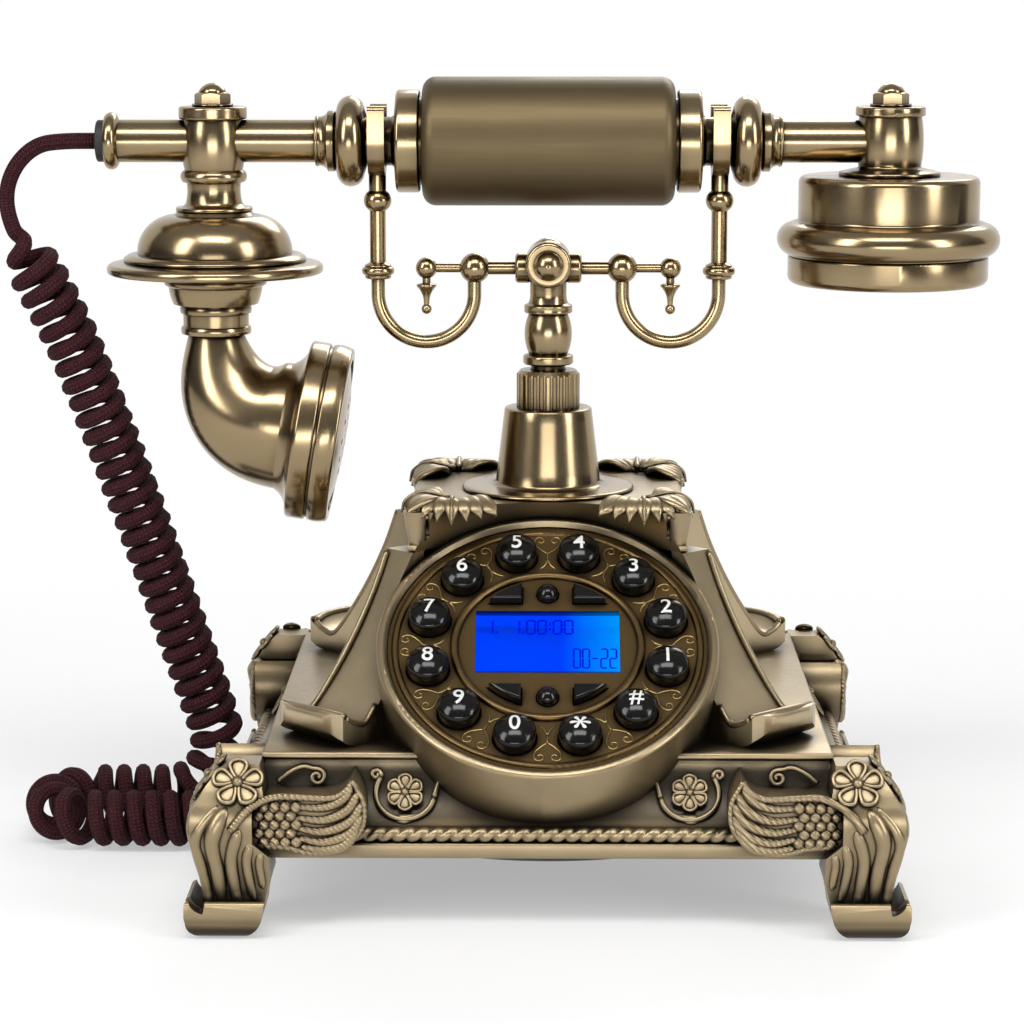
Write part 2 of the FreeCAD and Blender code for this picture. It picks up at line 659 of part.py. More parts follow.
def hook_switch():
    """Switch under the platform whose lever lies below the plunger."""
    half_width = 6.0
    side = face_xz([(8, platform_bottom_z), (20, platform_bottom_z), (20, 82), (-3.5, 82), (-3.5, 85.4), (8, 85.4)])
    switch = side.extrude(Vector(0, 2 * half_width, 0))
    switch.translate(Vector(0, -half_width, 0))
    switch.rotate(Vector(0, 0, 0), Vector(0, 0, 1), 90)
    return switch


def line_jack_block():
    """Body of the telephone line socket in the back of the plinth."""
    return Part.makeBox(14, 15.5, 12, Vector(33, 68, 29))


def line_jack():
    """Line socket, open to the back."""
    return line_jack_block().cut(Part.makeBox(9.8, 11, 7, Vector(35.1, 73, 31.5)))


jack_front = -67.0


def handset_jack():
    """Handset socket under the cover, open to the left."""
    block = Part.makeBox(15, 15, cover_bottom_z - 2.6, Vector(jack_front, cord_y - 7.5, 2.6))
    return block.cut(Part.makeBox(11, 8.2, 7.0, Vector(jack_front - 1, cord_y - 4.1, plug_z - 3.5)))


def cord_plug():
    """Modular plug in the handset socket, with its latch."""
    side = face_xz([(-72, plug_z - 3.0), (-58, plug_z - 3.0), (-58, plug_z + 2.0), (-60, plug_z + 3.2),
                    (-69, plug_z + 3.2), (-72, plug_z + 2.2)])
    plug = side.extrude(Vector(0, 7.6, 0))
    plug.translate(Vector(0, cord_y - 3.8, 0))
    return plug


# Curly cord: its axis is a smooth quadratic curve through hand-chosen poles, and its wire winds round that
cord_start = Vector(-handset_half, 0, handset_z)
cord_end = Vector(-72, cord_y, plug_z)
straight_end = 4.5
floor_z = wire_r + coil_r + 0.5
cord_poles = [Vector(-handset_half - straight_end, 0, handset_z), Vector(-139.5, 0, handset_z), Vector(-147.5, 0, 207),
              Vector(-154, 0, 201), Vector(-157, 0, 192.5), Vector(-155.5, 0, 183.5), Vector(-150.5, 0.5, 174),
              Vector(-144.5, 2, 162), Vector(-138, 5, 147), Vector(-128, 10, 117), Vector(-117.5, 15, 84),
              Vector(-109.5, 19, 57), Vector(-103.5, 21.5, 38), Vector(-99.8, 22.5, 25), Vector(-102.8, 22.5, 14.8),
              Vector(-111.2, 22.5, floor_z), Vector(-121.5, 22.5, floor_z), Vector(-131, 22, floor_z),
              Vector(-140.5, 22, floor_z), Vector(-149, 13.5, floor_z), Vector(-149, 1, floor_z),
              Vector(-140.5, -7.5, floor_z), Vector(-128.5, cord_y, floor_z), Vector(-114, cord_y, floor_z),
              Vector(-99, cord_y, floor_z), Vector(-85, cord_y, plug_z), Vector(-72 - straight_end, cord_y, plug_z)]
coil_from = 40.0
coil_to_end = 5.0
coil_ramp = 14.0
ramp_pitch = 8.0
axis_steps = 6000
lead_step = 8.0


def cord_axis():
    """Points evenly spaced in the curve's own measure along the cord's axis, with its bend at each."""
    spans = len(cord_poles) - 2
    curve = Part.BSplineCurve()
    curve.buildFromPolesMultsKnots(cord_poles, [3] + [1] * (spans - 1) + [3], list(range(spans + 1)), False, 2)
    places = [spans * index / axis_steps for index in range(axis_steps + 1)]
    return [curve.value(place) for place in places], [curve.curvature(place) for place in places]


def smooth(value):
    """Ease from 0 to 1."""
    value = min(max(value, 0.0), 1.0)
    return value * value * (3 - 2 * value)


def cord_stations():
    """Wire points and tangents at every quarter turn, and along the plain leads."""
    axis, bends = cord_axis()
    walked = [0.0]
    for index in range(axis_steps):
        walked.append(walked[-1] + (axis[index + 1] - axis[index]).Length)
    coil_stop = walked[-1] - coil_to_end
    side = Vector(0, 1, 0)
    turn = 0.0
    wire, turns = [], []
    for index, centre in enumerate(axis):
        ahead = (axis[min(index + 1, axis_steps)] - axis[max(index - 1, 0)]).normalize()
        side = (side - ahead * side.dot(ahead)).normalize()
        here = walked[index]
        grown = smooth((here - coil_from) / coil_ramp) * smooth((coil_stop - here) / coil_ramp)
        radius = coil_r * grown
        if index and coil_from < here < coil_stop:
            pitch = coil_pitch + pitch_per_bend * bends[index] + ramp_pitch * (1 - grown)
            turn += (here - walked[index - 1]) / pitch
        angle = 2 * math.pi * turn
        wire.append(centre + side * (radius * math.cos(angle)) + ahead.cross(side) * (radius * math.sin(angle)))
        turns.append(turn)
    marks = [0]
    for index in range(1, axis_steps):
        quarter = turns[index] - turns[marks[-1]] >= 1 / quarter_turns
        lead = turns[index] == turns[marks[-1]] and walked[index] - walked[marks[-1]] >= lead_step
        if quarter or lead:
            marks.append(index)
    marks[-1] = axis_steps
    print("curls", round(turns[-1], 1), "tightest axis bend", round(1 / max(bends), 1))
    stations = []
    for index in marks:
        ahead = (wire[min(index + 1, axis_steps)] - wire[max(index - 1, 0)]).normalize()
        stations.append((wire[index], ahead))
    return stations


def arc_toward(start, end, corner):
    """Arc from start to end whose end tangents meet at corner."""
    chord = (start + end) * 0.5
    height = (corner - chord).Length
    half = (end - start).Length / 2
    reach = math.hypot(height, half)
    sagitta = half * (reach - half) / height
    return Part.Arc(start, chord + (corner - chord) * (sagitta / height), end).toShape()


def biarc(start, start_way, end, end_way):
    """Two tangent arcs from one point and heading to the next."""
    gap = end - start
    ways = start_way + end_way
    spread = 2 * (1 - start_way.dot(end_way))
    along = gap.dot(ways)
    reach = (math.sqrt(along * along + spread * gap.dot(gap)) - along) / spread
    first, second = start + start_way * reach, end - end_way * reach
    middle = (first + second) * 0.5
    return [arc_toward(start, middle, first), arc_toward(middle, end, second)]


def least_gap(points):
    """Least clear distance between stretches of the wire that are over a half turn apart."""
    cell = 8.0
    apart = 14.0
    cells = {}
    walked = 0.0
    least = cell
    for index, point in enumerate(points):
        if index:
            walked += (point - points[index - 1]).Length
        key = (round(point.x / cell), round(point.y / cell), round(point.z / cell))
        for x in (-1, 0, 1):
            for y in (-1, 0, 1):
                for z in (-1, 0, 1):
                    for place, other in cells.get((key[0] + x, key[1] + y, key[2] + z), ()):
                        if walked - place > apart:
                            least = min(least, (point - other).Length)
        cells.setdefault(key, []).append((walked, point))
    return least - 2 * wire_r


def curly_cord():
    """One unbroken tube from the grommet to the plug."""
    stations = cord_stations()
    arcs = []
    for (start, start_way), (end, end_way) in zip(stations, stations[1:]):
        arcs += biarc(start, start_way, end, end_way)
    print("tightest wire arc", round(min(arc.Curve.Radius for arc in arcs), 2))
    points = [point for arc in arcs for point in arc.discretize(5)[:-1]]
    print("least gap", round(least_gap(points), 2))
    edges = [Part.LineSegment(cord_start, stations[0][0]).toShape()] + arcs
    edges.append(Part.LineSegment(stations[-1][0], cord_end).toShape())
    path = Part.Wire(edges)
    section = Part.Wire(Part.Circle(cord_start, Vector(-1, 0, 0), wire_r).toShape())
    tube = path.makePipeShell([section], True, False)
    print("wire length", round(path.Length), "volume", round(tube.Volume),
          "section times length", round(path.Length * math.pi * wire_r ** 2))
    return tube


def main():
    """Build and write every node."""
    os.makedirs("parts", exist_ok=True)
    post = stem_post()
    bars = cross_bar(post)
    drum = drum_space()
    plinth_solid = plinth_block()
    housing_solid = housing_block()
    platform = top_platform(drum)
    nodes = {
        "handset_tube": handset_tube(), "cord_grommet": cord_grommet(), "grip": grip(),
        "grip_collars": grip_collars(), "bosses": bosses(), "cap_nuts": cap_nuts(),
        "mouthpiece_bell": mouthpiece_bell(), "mouthpiece_horn": mouthpiece_horn(),
        "mouthpiece_ring": mouthpiece_ring(), "mouthpiece_cap": mouthpiece_cap(), "microphone": microphone(),
        "earpiece_shell": earpiece_shell(), "earpiece_cap": earpiece_cap(), "receiver": receiver(),
        "stem_post": post, "hub_cap": hub_cap(), "cross_bar": bars, "hooks": hooks(bars), "forks": forks(),
        "finials": finials(bars), "cone_sleeve": cone_sleeve(), "guide_sleeve": guide_sleeve(),
        "top_platform": platform, "base_housing": base_housing(housing_solid, drum),
        "plinth": plinth(plinth_solid, drum, line_jack_block()),
        "scroll_brackets": scroll_brackets(housing_solid, drum, platform), "feet": feet(plinth_solid),
        "bottom_cover": bottom_cover(), "bottom_screws": bottom_screws(), "dial_drum": dial_drum(),
        "dial_plate": dial_plate(), "lcd_window": lcd_window(), "lcd_module": lcd_module(),
        "keypad_mat": keypad_mat(), "keypad_board": keypad_board(), "main_board": main_board(),
        "ringer_speaker": ringer_speaker(), "hook_switch": hook_switch(), "line_jack": line_jack(),
        "handset_jack": handset_jack(), "curly_cord": curly_cord(), "cord_plug": cord_plug()}
    nodes.update((name, digit_key(place)) for name, place in digit_places())
    nodes.update(("key_" + name, dot_key(place)) for name, place in function_dots())
    nodes.update(corner_keys())
    for node, shape in nodes.items():
        save(node, shape)


main()
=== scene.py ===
"""Looks of the antique-style cradle telephone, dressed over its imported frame.

Blender's unit is the metre; sizes below are written in millimetres and scaled where a piece is made.
+Z is up, the dial faces -Y, and the origin lies on the table under the stem.
"""
import json
import math

import bpy
from mathutils import Matrix, Vector


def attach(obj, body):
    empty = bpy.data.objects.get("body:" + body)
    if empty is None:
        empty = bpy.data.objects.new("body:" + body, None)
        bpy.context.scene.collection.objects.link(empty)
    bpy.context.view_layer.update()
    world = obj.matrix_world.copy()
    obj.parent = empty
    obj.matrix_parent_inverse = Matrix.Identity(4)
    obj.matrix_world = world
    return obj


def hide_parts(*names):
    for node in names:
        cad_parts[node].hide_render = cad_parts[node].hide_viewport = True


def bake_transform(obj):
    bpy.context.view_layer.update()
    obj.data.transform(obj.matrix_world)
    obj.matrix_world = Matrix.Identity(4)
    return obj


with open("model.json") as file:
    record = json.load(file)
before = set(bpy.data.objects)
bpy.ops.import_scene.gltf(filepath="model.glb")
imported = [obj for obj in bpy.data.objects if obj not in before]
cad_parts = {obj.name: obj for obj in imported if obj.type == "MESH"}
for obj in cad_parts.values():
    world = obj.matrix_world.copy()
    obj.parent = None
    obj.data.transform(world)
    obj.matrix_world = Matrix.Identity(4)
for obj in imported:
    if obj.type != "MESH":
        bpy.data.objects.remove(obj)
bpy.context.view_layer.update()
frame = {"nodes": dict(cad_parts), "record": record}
nodes = frame["nodes"]
scene = bpy.context.scene
mm = 0.001

# Dial: its own frame has X to the right, Y up the slope and Z out of the face
dial_place = Vector((0, -59.6, 74))
dial_slope_deg = 37
dial_r = 47.4
drum_depth = 24.0
dial_frame = Matrix.Translation(dial_place) @ Matrix.Rotation(math.radians(dial_slope_deg), 4, "X")
plate_front = -1.8
key_ring_r = 34.0
key_step_deg = 30
key_crown_z = 4.2
key_crown_r = 9.4
pane_front = -2.0
pane_half_width = 20.0
pane_half_height = 11.25
pane_rise = 1.5

# Curly cord: the same route and winding as the CAD solid
wire_r = 2.35
coil_r = 6.1
coil_pitch = 5.5
pitch_per_bend = 58.0
ramp_pitch = 8.0
coil_from = 40.0
coil_to_end = 5.0
coil_ramp = 14.0
cord_y = -8.0
plug_z = 7.2
floor_z = wire_r + coil_r + 0.5
cord_start = Vector((-130, 0, 208))
cord_end = Vector((-72, cord_y, plug_z))
cord_poles = [(-134.5, 0, 208), (-139.5, 0, 208), (-147.5, 0, 207), (-154, 0, 201), (-157, 0, 192.5),
              (-155.5, 0, 183.5), (-150.5, 0.5, 174), (-144.5, 2, 162), (-138, 5, 147), (-128, 10, 117),
              (-117.5, 15, 84), (-109.5, 19, 57), (-103.5, 21.5, 38), (-99.8, 22.5, 25), (-102.8, 22.5, 14.8),
              (-111.2, 22.5, floor_z), (-121.5, 22.5, floor_z), (-131, 22, floor_z), (-140.5, 22, floor_z),
              (-149, 13.5, floor_z), (-149, 1, floor_z), (-140.5, -7.5, floor_z), (-128.5, cord_y, floor_z),
              (-114, cord_y, floor_z), (-99, cord_y, floor_z), (-85, cord_y, plug_z), (-76.5, cord_y, plug_z)]


# Shapes are (points, faces) pairs in millimetres until piece() makes an object of them
def merged(shapes):
    """One shape from several."""
    points, faces = [], []
    for shape_points, shape_faces in shapes:
        offset = len(points)
        points += shape_points
        faces += [[index + offset for index in face] for face in shape_faces]
    return points, faces


def moved(shape, matrix):
    """The shape through a matrix, with its faces kept outward by a mirror."""
    points, faces = shape
    if matrix.determinant() < 0:
        faces = [face[::-1] for face in faces]
    return [matrix @ point for point in points], faces


def turned(degrees):
    """Turn about the Z axis."""
    return Matrix.Rotation(math.radians(degrees), 4, "Z")


def mirrored(shape):
    """The shape's mirror image across the middle of its side."""
    return moved(shape, Matrix.Scale(-1, 4, Vector((1, 0, 0))))


def on_both_halves(shape):
    """The shape and its mirror image."""
    return merged([shape, mirrored(shape)])


def on_sides(shape, quarters=range(4)):
    """The shape turned round the stem by quarter turns, on all four sides or on some."""
    return merged([moved(shape, turned(90 * quarter)) for quarter in quarters])


def through(places, steps=6):
    """Smooth line through given points."""
    points = [Vector(place) for place in places]
    ends = [points[0] * 2 - points[1]] + points + [points[-1] * 2 - points[-2]]
    line = []
    for before, start, end, after in zip(ends, ends[1:], ends[2:], ends[3:]):
        for step in range(steps):
            t = step / steps
            place = 2 * start + (end - before) * t
            place += (2 * before - 5 * start + 4 * end - after) * t ** 2
            place += (3 * start - 3 * end + after - before) * t ** 3
            line.append(0.5 * place)
    return line + [points[-1]]


def rings_to_shape(rings):
    """Closed skin over rings of points, with a flat cap on each end."""
    sides = len(rings[0])
    points = [point for ring in rings for point in ring]
    faces = [list(range(sides))[::-1], [len(points) - sides + index for index in range(sides)]]
    for row in range(len(rings) - 1):
        for index in range(sides):
            ahead = (index + 1) % sides
            low = row * sides
            faces.append([low + index, low + ahead, low + sides + ahead, low + sides + index])
    return points, faces


def circle(centre, side, across, radius, sides):
    """Ring of points in the plane of two directions."""
    turns = [2 * math.pi * k / sides for k in range(sides)]
    return [centre + (side * math.cos(turn) + across * math.sin(turn)) * radius for turn in turns]


def heading(line, index):
    """Direction in which a line runs at one of its points."""
    return (line[min(index + 1, len(line) - 1)] - line[max(index - 1, 0)]).normalized()


def walk(line):
    """Distance walked along a line at each of its points."""
    walked = [0.0]
    for before, after in zip(line, line[1:]):
        walked.append(walked[-1] + (after - before).length)
    return walked


def tube(spine, radii, sides=8):
    """Round tube along a spine, with one radius or a radius for each point."""
    if not isinstance(radii, list):
        radii = [radii] * len(spine)
    side = (spine[1] - spine[0]).orthogonal()
    rings = []
    for index, centre in enumerate(spine):
        ahead = heading(spine, index)
        side = (side - ahead * side.dot(ahead)).normalized()
        rings.append(circle(centre, side, ahead.cross(side), radii[index], sides))
    return rings_to_shape(rings)


def tapered(spine, thick, thin):
    """Tube that thins evenly from its start to its end."""
    last = len(spine) - 1
    return tube(spine, [thick + (thin - thick) * index / last for index in range(last + 1)])


def blade_spread(t, blunt):
    """Share of a blade's full width at a share t of its length, with a pointed or a rounded tip."""
    if not blunt:
        return max(math.sin(math.pi * t ** 0.75), 0.06)
    root, full_from, tip_from = 0.55, 0.5, 0.8
    spread = root + (1 - root) * min(t / full_from, 1)
    if t > tip_from:
        spread *= math.sqrt(max(1 - ((t - tip_from) / (1 - tip_from)) ** 2, 0.01))
    return spread


def blade(spine, facing, half_width, rise, blunt=False):
    """Leaf, petal or feather along a spine: a crowned upper side towards facing over a flat back."""
    facing = Vector(facing).normalized()
    across_steps = 8
    vein = 0.18
    rings = []
    for index, centre in enumerate(spine):
        ahead = heading(spine, index)
        side = ahead.cross(facing).normalized()
        up = side.cross(ahead)
        spread = blade_spread(index / (len(spine) - 1), blunt)
        ring = []
        for step in range(across_steps + 1):
            v = 2 * step / across_steps - 1
            height = rise * (1 - v * v) * (0.4 + 0.6 * spread)
            height -= rise * vein * (1 if step == across_steps // 2 else 0)
            ring.append(centre + side * (half_width * spread * v) + up * height)
        ring.append(centre + side * (half_width * spread) - up * rise)
        ring.append(centre - side * (half_width * spread) - up * rise)
        rings.append(ring)
    return rings_to_shape(rings)


def bead(centre, facing, radius, squash=1.0):
    """Low dome that looks towards facing."""
    facing = Vector(facing).normalized()
    side = facing.orthogonal().normalized()
    across = facing.cross(side)
    rings = []
    ring_count, sides = 5, 12
    foot_deg, span_deg = -25, 113
    for row in range(ring_count):
        lean = math.radians(foot_deg + span_deg * row / (ring_count - 1))
        lift = facing * (radius * squash * math.sin(lean))
        ring = circle(Vector(centre), side, across, radius * math.cos(lean), sides)
        rings.append([point + lift for point in ring])
    return rings_to_shape(rings)


def flower(centre, facing, radius, petals=5):
    """Dished petals with raised outlines about a beaded eye."""
    centre, facing = Vector(centre), Vector(facing).normalized()
    side = Vector((1, 0, 0))
    across = facing.cross(side).normalized()
    outline = ((0.16, 0.04), (0.5, 0.26), (0.82, 0.33), (1.0, 0.0),
               (0.82, -0.33), (0.5, -0.26), (0.16, -0.04))
    eye_lift, petal_lift, edge_lift = 0.7, 0.2, 0.55
    parts = [bead(centre + facing * eye_lift, facing, radius * 0.24)]
    for index in range(petals):
        turn = math.radians(90 + 360 * index / petals)
        out = side * math.cos(turn) + across * math.sin(turn)
        spread = across * math.cos(turn) - side * math.sin(turn)
        spine = [centre + out * (radius * reach) + facing * petal_lift for reach in (0.1, 0.55, 0.97)]
        parts.append(blade(through(spine, 5), facing, radius * 0.32, 0.35, blunt=True))
        edge = [centre + (out * along + spread * aside) * radius + facing * edge_lift
                for along, aside in outline]
        parts.append(tube(through(edge, 4), 0.09 * radius))
    return merged(parts)


def spiral_line(centre, side, across, outer_r, inner_r, start_deg, turns, steps=28):
    """Flat spiral from its outer end to its eye."""
    centre, side, across = Vector(centre), Vector(side).normalized(), Vector(across).normalized()
    line = []
    for step in range(steps + 1):
        t = step / steps
        turn = math.radians(start_deg) + 2 * math.pi * turns * t
        radius = outer_r + (inner_r - outer_r) * t
        line.append(centre + (side * math.cos(turn) + across * math.sin(turn)) * radius)
    return line


def piece(name, shape, material, body):
    """Smooth-shaded object made of a shape, riding on a body."""
    points, faces = shape
    mesh = bpy.data.meshes.new(name)
    mesh.from_pydata([point * mm for point in points], [], faces)
    mesh.polygons.foreach_set("use_smooth", [True] * len(mesh.polygons))
    mesh.materials.append(material)
    made = bpy.data.objects.new(name, mesh)
    scene.collection.objects.link(made)
    if body:
        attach(made, body)
    return made


def casting(name, shape, material=None):
    """Piece of the base's cast ornament."""
    piece(name, shape, material or materials["bronzed_casting"], "base")


def emptied(curve):
    """Points and faces of a curve or text, which is removed with all that carried it."""
    carrier = bpy.data.objects.new(curve.name, curve)
    mesh = bpy.data.meshes.new_from_object(carrier)
    points = [vertex.co.copy() for vertex in mesh.vertices]
    faces = [list(polygon.vertices) for polygon in mesh.polygons]
    bpy.data.objects.remove(carrier)
    bpy.data.meshes.remove(mesh)
    bpy.data.curves.remove(curve)
    return points, faces


# Materials
def shader_tree(name):
    """New material with its tree and its one shader."""
    material = bpy.data.materials.new(name)
    material.use_nodes = True
    return material, material.node_tree, material.node_tree.nodes["Principled BSDF"]


def add(tree, kind, inputs=None, **settings):
    """Node of a kind, with settings and with values or links for its inputs."""
    made = tree.nodes.new("ShaderNode" + kind)
    for key, value in settings.items():
        setattr(made, key, value)
    for key, value in (inputs or {}).items():
        if isinstance(value, bpy.types.NodeSocket):
            tree.links.new(value, made.inputs[key])
        else:
            made.inputs[key].default_value = value
    return made


def object_noise(tree, scale, detail=3.0, stretch=(1, 1, 1)):
    """Noise in the part's own space, as a value from 0 to 1."""
    where = add(tree, "TexCoord").outputs["Object"]
    spread = add(tree, "Mapping", {"Vector": where, "Scale": stretch}).outputs["Vector"]
    return add(tree, "TexNoise", {"Vector": spread, "Scale": scale, "Detail": detail}).outputs["Fac"]


def ranged(tree, value, low, high, to_low, to_high):
    """Value carried from one range to another, clamped."""
    return add(tree, "MapRange", {"Value": value, "From Min": low, "From Max": high, "To Min": to_low,
                                  "To Max": to_high}).outputs["Result"]


def from_noise(tree, noise, to_low, to_high):
    """Noise, which seldom leaves its middle, stretched over a range."""
    return ranged(tree, noise, 0.3, 0.7, to_low, to_high)


def reckoned(tree, operation, *values):
    """Result of one operation on values or sockets."""
    return add(tree, "Math", dict(enumerate(values)), operation=operation).outputs[0]


def mixed(tree, share, first, second):
    """Colour between two colours or sockets."""
    node = add(tree, "Mix", data_type="RGBA")
    for socket, value in ((0, share), (6, first), (7, second)):
        if isinstance(value, bpy.types.NodeSocket):
            tree.links.new(value, node.inputs[socket])
        else:
            node.inputs[socket].default_value = value
    return node.outputs[2]


def roughen(tree, shader, height, distance, strength):
    """Bump from a height."""
    bump = add(tree, "Bump", {"Height": height, "Distance": distance, "Strength": strength})
    tree.links.new(bump.outputs["Normal"], shader.inputs["Normal"])


def aged_metal(name, bright, dark, rough, recess_mm, metallic=1.0, stretch=(1, 1, 1), grain=900.0,
               grain_depth=0.02, mottle=0.14, dark_band=None, hatch=None):
    """Plated metal darkened in its recesses by patina and by painted shade, lighter on open faces, and fine
    grain.

    dark_band is a pair of heights between which the patina is thick, and hatch the spacing of cut lines."""
    material, tree, shader = shader_tree(name)
    # Ambient occlusion darkens the recesses: patina of the real metal together with painted shade.
    open_share = add(tree, "AmbientOcclusion", {"Distance": recess_mm * mm}, samples=8).outputs["AO"]
    blotches = object_noise(tree, 70.0, 4.0)
    wear_and_painted_shade = reckoned(tree, "MULTIPLY", ranged(tree, open_share, 0.5, 0.97, 0.0, 1.0),
                    from_noise(tree, blotches, 1 - mottle, 1.0))
    where = add(tree, "TexCoord").outputs["Object"]
    if dark_band:
        height = add(tree, "SeparateXYZ", {"Vector": where}).outputs["Z"]
        low, high = dark_band
        soft = 1.5
        above = ranged(tree, height, (low - soft) * mm, (low + soft) * mm, 0.0, 1.0)
        below = ranged(tree, height, (high - soft) * mm, (high + soft) * mm, 1.0, 0.0)
        kept = ranged(tree, reckoned(tree, "MULTIPLY", above, below), 0.0, 1.0, 1.0, 0.12)
        wear_and_painted_shade = reckoned(tree, "MULTIPLY", wear_and_painted_shade, kept)
    tree.links.new(mixed(tree, wear_and_painted_shade, (*dark, 1), (*bright, 1)), shader.inputs["Base Color"])
    fine = object_noise(tree, grain, 2.0, stretch)
    tree.links.new(from_noise(tree, fine, 0.92 * rough, 1.1 * rough), shader.inputs["Roughness"])
    shader.inputs["Metallic"].default_value = metallic
    if hatch:
        lines = add(tree, "TexWave", {"Vector": where, "Scale": 0.3 / (hatch * mm), "Distortion": 0.6},
                    bands_direction="DIAGONAL")
        roughen(tree, shader, lines.outputs["Fac"], 0.3 * mm, 0.7)
    else:
        roughen(tree, shader, fine, grain_depth * mm, 0.5)
    return material


def moulded(name, colour, rough, gloss=0.5):
    """Moulded plastic or rubber with a faint unevenness."""
    material, tree, shader = shader_tree(name)
    shader.inputs["Specular IOR Level"].default_value = gloss
    blotches = from_noise(tree, object_noise(tree, 160.0), 0.0, 1.0)
    shade = mixed(tree, blotches, (*[0.75 * part for part in colour], 1), (*colour, 1))
    tree.links.new(shade, shader.inputs["Base Color"])
    fine = object_noise(tree, 1500.0, 2.0)
    tree.links.new(from_noise(tree, fine, rough - 0.05, rough + 0.05), shader.inputs["Roughness"])
    roughen(tree, shader, fine, 0.01 * mm, 0.3)
    return material


def display_blue():
    """Backlight that turns from blue to cyan across the display and shines only behind its window."""
    material, tree, shader = shader_tree("display_blue")
    where = add(tree, "TexCoord").outputs["Object"]
    split = add(tree, "SeparateXYZ", {"Vector": where})
    middle = (dial_frame @ Vector((0, pane_rise, pane_front))).z * mm
    half_window = pane_half_height * math.sin(math.radians(dial_slope_deg)) * mm
    away = reckoned(tree, "ABSOLUTE", reckoned(tree, "SUBTRACT", split.outputs["Z"], middle))
    lit = ranged(tree, away, 1.02 * half_window, 1.08 * half_window, 0.95, 0.0)
    uneven = object_noise(tree, 60.0)
    share = reckoned(tree, "MULTIPLY", ranged(tree, split.outputs["X"], 4 * mm, 24 * mm, 0.0, 0.85),
                     from_noise(tree, uneven, 0.85, 1.1))
    glow = mixed(tree, share, (0.0, 0.045, 1.0, 1), (0.0, 0.5, 1.0, 1))
    tree.links.new(glow, shader.inputs["Emission Color"])
    tree.links.new(lit, shader.inputs["Emission Strength"])
    shader.inputs["Base Color"].default_value = (0.0, 0.01, 0.06, 1)
    shader.inputs["Specular IOR Level"].default_value = 0.0
    tree.links.new(from_noise(tree, uneven, 0.3, 0.4), shader.inputs["Roughness"])
    return material


def display_glass():
    """Clear pane with a faint surface unevenness."""
    material, tree, shader = shader_tree("display_glass")
    shader.inputs["Base Color"].default_value = (0.9, 0.95, 1.0, 1)
    shader.inputs["Transmission Weight"].default_value = 1.0
    shader.inputs["IOR"].default_value = 1.05
    shader.inputs["Specular IOR Level"].default_value = 0.0
    tree.links.new(from_noise(tree, object_noise(tree, 400.0), 0.02, 0.06), shader.inputs["Roughness"])
    return material


def cord_cover():
    """Braided cotton: two crossing diagonals of strands with pale flecks."""
    material, tree, shader = shader_tree("cord_cover")
    spot = add(tree, "SeparateXYZ", {"Vector": add(tree, "UVMap").outputs["UV"]}).outputs
    strands_per_turn = 5
    strands = []
    for lean in (1, -1):
        along = reckoned(tree, "MULTIPLY", spot["X"], 3600.0)
        around = reckoned(tree, "MULTIPLY", spot["Y"], lean * 2 * math.pi * strands_per_turn)
        strands.append(reckoned(tree, "SINE", reckoned(tree, "ADD", along, around)))
    weave = reckoned(tree, "MULTIPLY", *strands)
    fibre = object_noise(tree, 2500.0, 3.0)
    flecks = ranged(tree, weave, 0.45, 0.95, 0.0, 0.55)
    ground = mixed(tree, from_noise(tree, fibre, 0.0, 1.0), (0.013, 0.003, 0.0042, 1),
                   (0.042, 0.009, 0.0115, 1))
    tree.links.new(mixed(tree, flecks, ground, (0.1, 0.027, 0.03, 1)), shader.inputs["Base Color"])
    tree.links.new(from_noise(tree, fibre, 0.75, 0.95), shader.inputs["Roughness"])
    shader.inputs["Specular IOR Level"].default_value = 0.15
    roughen(tree, shader, weave, 0.3 * mm, 0.8)
    return material


def printed(name, colour, glow=0.0):
    """Thin print with slight wear."""
    material, tree, shader = shader_tree(name)
    wear_and_painted_shade = ranged(tree, object_noise(tree, 900.0), 0.25, 0.75, 0.85, 1.0)
    shade = mixed(tree, wear_and_painted_shade, (*[0.6 * part for part in colour], 1), (*colour, 1))
    tree.links.new(shade, shader.inputs["Base Color"])
    shader.inputs["Roughness"].default_value = 0.45
    if glow:
        shader.inputs["Specular IOR Level"].default_value = 0.0
        tree.links.new(shade, shader.inputs["Emission Color"])
        shader.inputs["Emission Strength"].default_value = glow
    return material


materials = {
    "antique_brass": aged_metal("antique_brass", (0.31, 0.233, 0.132), (0.042, 0.03, 0.016), 0.21, 5.0,
                                grain=1600.0, grain_depth=0.003, mottle=0.03),
    "brushed_grip": aged_metal("brushed_grip", (0.134, 0.1, 0.054), (0.08, 0.058, 0.031), 0.5, 3.0,
                               stretch=(0.03, 1, 1), grain=1300.0, grain_depth=0.05),
    "bronzed_casting": aged_metal("bronzed_casting", (0.335, 0.26, 0.152), (0.036, 0.028, 0.018), 0.34, 9.0,
                                  metallic=0.85, grain=500.0, grain_depth=0.06),
    "dial_bronze": aged_metal("dial_bronze", (0.15, 0.098, 0.042), (0.03, 0.018, 0.008), 0.36, 3.0,
                              mottle=0.08),
    "key_black": moulded("key_black", (0.004, 0.0036, 0.0032), 0.13, gloss=0.3),
    "black_plastic": moulded("black_plastic", (0.02, 0.02, 0.02), 0.45),
    "black_rubber": moulded("black_rubber", (0.013, 0.013, 0.013), 0.6),
    "grey_rubber": moulded("grey_rubber", (0.25, 0.25, 0.25), 0.6),
    "display_glass": display_glass(),
    "display_blue": display_blue(),
    "circuit_board": moulded("circuit_board", (0.03, 0.18, 0.06), 0.4),
    "screw_steel": aged_metal("screw_steel", (0.55, 0.55, 0.55), (0.2, 0.2, 0.2), 0.3, 1.0),
    "cord_cover": cord_cover(),
    "clear_plug": moulded("clear_plug", (0.55, 0.55, 0.55), 0.2),
}
frieze_bronze = aged_metal("frieze_bronze", (0.335, 0.26, 0.152), (0.032, 0.026, 0.018), 0.36, 9.0,
                           metallic=0.85, grain=500.0, grain_depth=0.06, dark_band=(29.0, 43.0))
